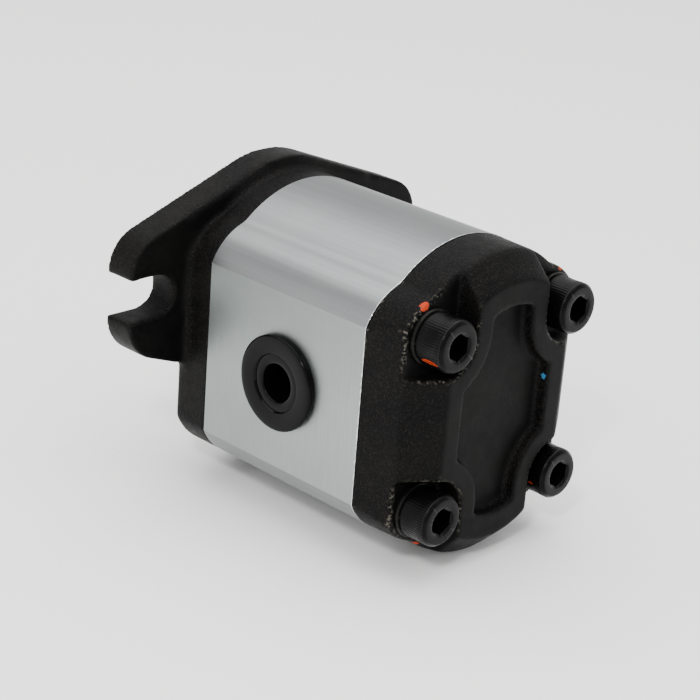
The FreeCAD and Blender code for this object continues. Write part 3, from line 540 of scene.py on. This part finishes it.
def relax(mesh, rounds, weight):
    # each point moves part of the way to the middle of its neighbours
    count = len(mesh.vertices)
    points = np.empty(count * 3)
    mesh.vertices.foreach_get("co", points)
    points = points.reshape(-1, 3)
    ends = np.empty(len(mesh.edges) * 2, dtype=np.int64)
    mesh.edges.foreach_get("vertices", ends)
    first, second = ends[0::2], ends[1::2]
    degree = np.maximum(np.bincount(ends, minlength=count), 1)[:, None]
    pull = weight(points)[:, None] * 0.5
    for step in range(rounds):
        total = np.stack([
            np.bincount(first, points[second, k], count) + np.bincount(second, points[first, k], count)
            for k in range(3)
        ], axis=1)
        points = points + pull * (total / degree - points)
    mesh.vertices.foreach_set("co", points.ravel())
    mesh.update()


def casting(node, name, machined, neck=None):
    piece = copyOf(node, name)
    remesh = piece.modifiers.new("voxels", "REMESH")
    remesh.mode = "VOXEL"
    remesh.voxel_size = castingShape["voxel"] * mm
    applyModifiers(piece)
    relax(piece.data, castingShape["overallRounds"], lambda p: np.ones(len(p)))

    def castOnly(points):
        # machined faces keep their edges, and the rest fades to full rounding
        weight = np.ones(len(points))
        for axis, value in machined:
            weight = np.minimum(
                weight,
                np.clip(np.abs(points[:, axis] - value) / mm / castingShape["edgeFade"] - 0.35, 0, 1),
            )
        return weight

    relax(piece.data, castingShape["edgeRounds"], castOnly)
    if neck:
        relax(piece.data, castingShape["neckRounds"], neck)
    for polygon in piece.data.polygons:
        polygon.use_smooth = True
    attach(piece, "housing")
    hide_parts(node)
    print(name, len(piece.data.polygons), "faces")
    return piece


bodyHigh = bodyBox[1]
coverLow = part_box("rear_cover")[0]
frontLow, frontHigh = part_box("front_cover")
plateBack = 9.3 * mm


def neckWeight(points):
    # only the inside corner where the neck meets the back of the flange plate
    near = np.clip(1 - np.abs(points[:, 0] - plateBack) / mm / castingShape["neckReach"], 0, 1)
    across = np.abs(points[:, 1])
    up = np.abs(points[:, 2] - pumpMiddle)
    beside = np.clip(1 - np.abs(across - bodyHigh[1]) / mm / castingShape["neckReach"], 0, 1)
    above = np.clip(1 - np.abs(up - (bodyHigh[2] - pumpMiddle)) / mm / 8, 0, 1)
    return near * np.maximum(beside, above) * (up < 42 * mm)


casting("front_cover", "front_cover_casting", [(0, 0.0), (0, frontHigh[0]), (0, frontLow[0])], neckWeight)
casting("rear_cover", "rear_cover_casting", [(0, coverLow[0])])


# a bead round the body's rear edge: the burr that the saw left, coloured far lighter than the body as a
# painted highlight along the edge

burrShape = {"thick": 0.15, "inset": 0.0, "fromJoint": 0.1, "lowest": -51.5}


def outerLoop(node, station):
    # the longest ring of sharp edges in one end plane of a node
    build = bmesh.new()
    build.from_mesh(nodes[node].data)
    bmesh.ops.remove_doubles(build, verts=build.verts, dist=1e-6)
    chain = {}
    for edge in build.edges:
        ends = edge.verts
        if all(abs(v.co.x - station) < 1e-6 for v in ends) and len(edge.link_faces) == 2:
            if edge.link_faces[0].normal.dot(edge.link_faces[1].normal) < 0.5:
                chain.setdefault(ends[0].index, []).append(ends[1].index)
                chain.setdefault(ends[1].index, []).append(ends[0].index)
    places = {v.index: v.co.copy() for v in build.verts if v.index in chain}
    build.free()
    start = max(places, key=lambda i: places[i].z)
    ring, seen = [start], {start}
    while True:
        following = [i for i in chain[ring[-1]] if i not in seen]
        if not following:
            break
        ring.append(following[0])
        seen.add(following[0])
    return [places[i] for i in ring]


def edgeBurr():
    ring = outerLoop("pump_body", bodyHigh[0])
    points = []
    for first, second in zip(ring, ring[1:] + ring[:1]):
        steps = max(1, int((second - first).length / (0.6 * mm)))
        points += [first.lerp(second, k / steps) for k in range(steps)]
    curve = bpy.data.curves.new("body_edge_burr_and_painted_highlight", "CURVE")
    curve.dimensions = "3D"
    curve.bevel_depth = burrShape["thick"] * mm
    curve.bevel_resolution = 2
    curve.use_fill_caps = True
    # the burr stops short of the lowest stretch, where it would leave the object's box
    runs, run = [], []
    for point in points + points[:1]:
        if point.z > burrShape["lowest"] * mm:
            run.append(point)
        elif run:
            runs.append(run)
            run = []
    runs.append(run)
    for run in runs:
        if len(run) < 3:
            continue
        spline = curve.splines.new("POLY")
        spline.points.add(len(run) - 1)
        for target, point in zip(spline.points, run):
            wobble = noise.noise(point * 900)
            outward = Vector((0, point.y, point.z - pumpMiddle)).normalized()
            sink = (burrShape["inset"] + 0.04 * wobble) * mm
            spot = point - outward * sink - Vector((burrShape["fromJoint"] * mm, 0, 0))
            target.co = (*spot, 1)
            target.radius = max(0.15, 0.7 + 1.1 * noise.noise(point * 1400 + Vector((5, 0, 0))))
    piece = bpy.data.objects.new("body_edge_burr_and_painted_highlight", curve)
    bpy.context.scene.collection.objects.link(piece)
    # the near-white colour paints the edge's highlight onto the burr
    piece.data.materials.append(drawnMetal("shearedAluminiumWithPaintedHighlight", "e6e8e8", "b5b7b8", 0.22, "x", 0.3))
    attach(piece, "housing")


edgeBurr()


# screws, washers and plugs, turned from their sections

def turnedPiece(name, rows, around, place, direction, ridges=0):
    # rows are (along, radius, ridge depth, hexagon share); place and direction put the axis
    mesh = bpy.data.meshes.new(name)
    build = bmesh.new()
    side = Vector(direction).orthogonal().normalized()
    if abs(direction[0]) > 0.9:
        side = Vector((0, 1, 0))
    up = Vector(direction).cross(side)
    rings = []
    for along, radius, ridge, flat in rows:
        ring = []
        if radius <= 0:
            ring = [build.verts.new(Vector(place) + Vector(direction) * along * mm)] * around
        else:
            for k in range(around):
                angle = 2 * math.pi * k / around
                reach = radius - ridge * (0.5 - 0.5 * math.cos(ridges * angle))
                turn = (angle + math.pi / 6) % (math.pi / 3) - math.pi / 6
                reach *= 1 + flat * (1 / math.cos(turn) - 1)
                ring.append(build.verts.new(Vector(place) + Vector(direction) * along * mm
                                            + (
                                                side * math.cos(angle) + up * math.sin(angle)
                                            ) * reach * mm))
        rings.append(ring)
    for lower, upper in zip(rings, rings[1:]):
        for k in range(around):
            corners = [lower[k], lower[(k + 1) % around], upper[(k + 1) % around], upper[k]]
            corners = list(dict.fromkeys(corners))
            if len(corners) > 2:
                build.faces.new(corners)
    bmesh.ops.recalc_face_normals(build, faces=build.faces)
    build.to_mesh(mesh)
    build.free()
    piece = bpy.data.objects.new(name, mesh)
    bpy.context.scene.collection.objects.link(piece)
    for polygon in mesh.polygons:
        polygon.use_smooth = True
    # chamfers and socket corners stay crisp
    mesh.set_sharp_from_angle(angle=math.radians(40))
    return piece


screwShape = {
    "head": 8.0, "radius": 6.5, "shank": 4.0, "pitch": 1.25, "threaded": 24.0, "ridges": 60,
    "ridgeDepth": 0.11, "socket": 3.0, "socketDepth": 4.4,
}


def capScrew(node):
    low, high = [Vector(corner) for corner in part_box(node)]
    s = screwShape
    centre = (low + high) / 2
    top = Vector((high.x, centre.y, centre.z))
    length = (high.x - low.x) / mm
    r, deep = s["radius"], s["ridgeDepth"]
    # the outline starts at the tip of the thread, measured back from the head's face
    rows = [(-length, 0, 0, 0), (-length, s["shank"] - 0.9, 0, 0)]
    turns = int(s["threaded"] / s["pitch"])
    for turn in range(turns):
        start = -length + 0.8 + turn * s["pitch"]
        rows += [
            (start, s["shank"] - 0.06, 0, 0), (start + 0.2, s["shank"] - 0.06, 0, 0),
            (start + 0.62, s["shank"] - 0.7, 0, 0), (start + 0.83, s["shank"] - 0.7, 0, 0),
        ]
    rows += [
        (-length + 0.8 + s["threaded"], s["shank"] - 0.02, 0, 0),
        (-s["head"] - 0.6, s["shank"] - 0.02, 0, 0), (-s["head"] - 0.01, s["shank"], 0, 0),
        (-s["head"], s["shank"] + 0.1, 0, 0), (-s["head"], r - 0.5, 0, 0),
        (-s["head"] + 0.06, r - 0.3, 0, 0), (-s["head"] + 0.25, r - 0.1, 0, 0),
        (-s["head"] + 0.5, r - 0.02, 0, 0),
        (-s["head"] + 0.75, r, deep, 0), (-s["head"] + 2.3, r, deep, 0),
        (-s["head"] + 2.5, r - 0.06, 0.05, 0), (-s["head"] + 5.2, r - 0.06, 0.05, 0),
        (-s["head"] + 5.4, r, deep, 0), (-s["head"] + 6.9, r, deep, 0),
        (-s["head"] + 7.05, r - 0.06, 0.02, 0), (-s["head"] + 7.25, r - 0.16, 0, 0),
        (-0.78, r - 0.16, 0, 0), (-0.7, r - 0.2, 0, 0), (-0.08, r - 0.76, 0, 0), (-0.02, r - 0.84, 0, 0),
        (0, r - 0.95, 0, 0), (0, s["socket"] + 0.9, 0, 0),
        (-0.04, s["socket"] + 0.66, 0, 0), (-0.15, s["socket"] + 0.52, 0, 0.05),
        (-0.42, s["socket"] + 0.04, 0, 0.9), (-0.6, s["socket"], 0, 1), (-1.5, s["socket"], 0, 1),
        (-s["socketDepth"] + 0.05, s["socket"], 0, 1), (-s["socketDepth"], s["socket"] - 0.15, 0, 1),
        (-s["socketDepth"], s["socket"] - 0.5, 0, 0), (-s["socketDepth"] - 1.4, 0, 0, 0),
    ]
    piece = turnedPiece(node + "_turned", rows, s["ridges"] * 4, top, (1, 0, 0), s["ridges"])
    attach(piece, "housing")
    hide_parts(node)
    marked = screwMarks.get(node)
    piece.data.materials.append(
        blackOxideMaterial("blackOxide_" + node, marked) if marked else materials["black_steel"]
    )
    return piece


washerShape = {"inner": 4.25, "round": 0.22}


def roundWasher(node):
    low, high = [Vector(corner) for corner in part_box(node)]
    centre = (low + high) / 2
    outer = (high.y - low.y) / 2 / mm
    thick = (high.x - low.x) / mm
    inner, soft = washerShape["inner"], washerShape["round"]
    rows = [
        (0, inner, 0, 0), (0, outer - soft, 0, 0), (soft * 0.3, outer - soft * 0.3, 0, 0),
        (soft, outer, 0, 0), (thick - soft, outer, 0, 0),
        (thick - soft * 0.3, outer - soft * 0.3, 0, 0), (thick, outer - soft, 0, 0),
        (thick, inner + soft, 0, 0), (thick - soft, inner, 0, 0), (0, inner, 0, 0),
    ]
    piece = turnedPiece(node + "_turned", rows, 96, (low.x, centre.y, centre.z), (1, 0, 0))
    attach(piece, "housing")
    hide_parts(node)
    piece.data.materials.append(materials["black_steel"])
    return piece


plugShape = {
    "edge": 0.45, "hub": 7.2, "hubDrop": 0.7, "well": 4.8, "stemWall": 1.0, "length": 9.0,
    "clearance": 0.25, "ribs": (2.2, 4.2, 6.2),
    "portRadius": {"left_port_plug": 9.2, "right_port_plug": 7.4},
}


def portPlug(node, side):
    low, high = [Vector(corner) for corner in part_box(node)]
    centre = (low + high) / 2
    radius = (high.x - low.x) / 2 / mm
    total = (high.y - low.y) / mm
    face = low.y if side < 0 else high.y
    top = total - plugShape["length"]
    stem = plugShape["portRadius"][node] - plugShape["clearance"]
    e, p = plugShape["edge"], plugShape
    rows = [(-total, 0, 0, 0), (-total, stem - 0.9, 0, 0), (-total + 0.3, stem - 0.6, 0, 0)]
    # three soft sealing ribs round the stem
    for rib in plugShape["ribs"]:
        rows += [
            (-total + rib - 0.5, stem - 0.35, 0, 0), (-total + rib, stem, 0, 0),
            (-total + rib + 0.5, stem - 0.35, 0, 0),
        ]
    rows += [
        (-top, stem - 0.3, 0, 0), (-top, radius - 0.25, 0, 0), (-top + 0.12, radius - 0.06, 0, 0),
        (-top + 0.3, radius, 0, 0),
        (-e * 1.2, radius, 0, 0), (-e * 0.6, radius - 0.08, 0, 0), (-e * 0.2, radius - 0.28, 0, 0),
        (0, radius - e * 1.4, 0, 0),
        (-0.06, radius - 2.0, 0, 0), (-0.12, p["hub"] + 0.7, 0, 0), (-0.2, p["hub"] + 0.3, 0, 0),
        (-0.45, p["hub"] + 0.12, 0, 0),
        (-p["hubDrop"], p["hub"], 0, 0), (-p["hubDrop"] + 0.05, p["hub"] - 0.3, 0, 0),
        (-p["hubDrop"] + 0.08, p["well"] + 0.5, 0, 0),
        (-p["hubDrop"] - 0.05, p["well"] + 0.15, 0, 0), (-p["hubDrop"] - 0.3, p["well"], 0, 0),
        (-total + p["stemWall"] + 0.4, p["well"] - 0.3, 0, 0),
        (-total + p["stemWall"], p["well"] - 0.8, 0, 0), (-total + p["stemWall"], 0, 0, 0),
    ]
    piece = turnedPiece(node + "_moulded", rows, 144, (centre.x, face, centre.z), (0, side, 0))
    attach(piece, node.replace("_port", ""))
    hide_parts(node)
    piece.data.materials.append(materials["plug_plastic"])
    return piece


for place in ("upper_left", "upper_right", "lower_left", "lower_right"):
    capScrew("cover_screw_" + place)
    roundWasher("washer_" + place)
portPlug("left_port_plug", -1)
portPlug("right_port_plug", 1)
print("screws, washers and plugs turned")


# stage, light and camera

stage = {
    "floor": "fbfbfa", "world": "ffffff", "worldPower": 1.0, "topPower": 26.0, "sidePower": 3.0,
    "endPower": 1.0, "glintPower": 2.6,
}

floorMesh = bpy.data.meshes.new("floor")
floorZ = cadBox[0][2]
floorMesh.from_pydata(
    [(-3, -3, floorZ), (3, -3, floorZ), (3, 3, floorZ), (-3, 3, floorZ)], [], [(0, 1, 2, 3)],
)
floor = bpy.data.objects.new("floor", floorMesh)
bpy.context.scene.collection.objects.link(floor)
floorMesh.materials.append(startMaterial("mattPaper", stage["floor"], 0.8)[0])

world = bpy.data.worlds.new("softbox")
world.use_nodes = True
world.node_tree.nodes["Background"].inputs["Color"].default_value = hexColour(stage["world"])
world.node_tree.nodes["Background"].inputs["Strength"].default_value = stage["worldPower"]
bpy.context.scene.world = world


def areaLight(name, place, size, power):
    data = bpy.data.lights.new(name, "AREA")
    data.size = size
    data.energy = power
    lamp = bpy.data.objects.new(name, data)
    lamp.location = place
    lamp.rotation_euler = (Vector((0.045, 0, -0.013)) - Vector(place)).to_track_quat("-Z", "Y").to_euler()
    bpy.context.scene.collection.objects.link(lamp)


areaLight("topLight", (-0.1, 0.1, 1.2), 1.6, stage["topPower"])
areaLight("sideLight", (-0.35, -1.0, 0.45), 0.9, stage["sidePower"])
areaLight("endLight", (0.9, 0.25, 0.5), 0.5, stage["endPower"])
areaLight("glintLight", (0.35, -0.5, 0.45), 0.08, stage["glintPower"])

cameraView = {
    "azimuth": 43.192, "elevation": 21.802, "roll": 4.488, "distance": 479.54,
    "across": 24.262, "up": -9.131, "lens": 101.14, "aim": (70.5, 0, -13),
}


def placeCamera():
    azimuth, elevation, roll = (math.radians(cameraView[key]) for key in ("azimuth", "elevation", "roll"))
    back = Vector(
        (
            math.sin(azimuth) * math.cos(elevation), -math.cos(azimuth) * math.cos(elevation),
            math.sin(elevation),
        )
    )
    level = Vector((math.cos(azimuth), math.sin(azimuth), 0))
    upright = back.cross(level)
    right = level * math.cos(roll) + upright * math.sin(roll)
    up = upright * math.cos(roll) - level * math.sin(roll)
    data = bpy.data.cameras.new("camera")
    data.sensor_width = 36
    data.lens = cameraView["lens"]
    camera = bpy.data.objects.new("camera", data)
    aside = right * cameraView["across"] + up * cameraView["up"]
    place = Vector(cameraView["aim"]) - aside + back * cameraView["distance"]
    camera.matrix_world = Matrix.Translation(place * mm) @ Matrix((right, up, back)).transposed().to_4x4()
    bpy.context.scene.collection.objects.link(camera)
    bpy.context.scene.camera = camera


placeCamera()
print("stage, lights and camera placed")
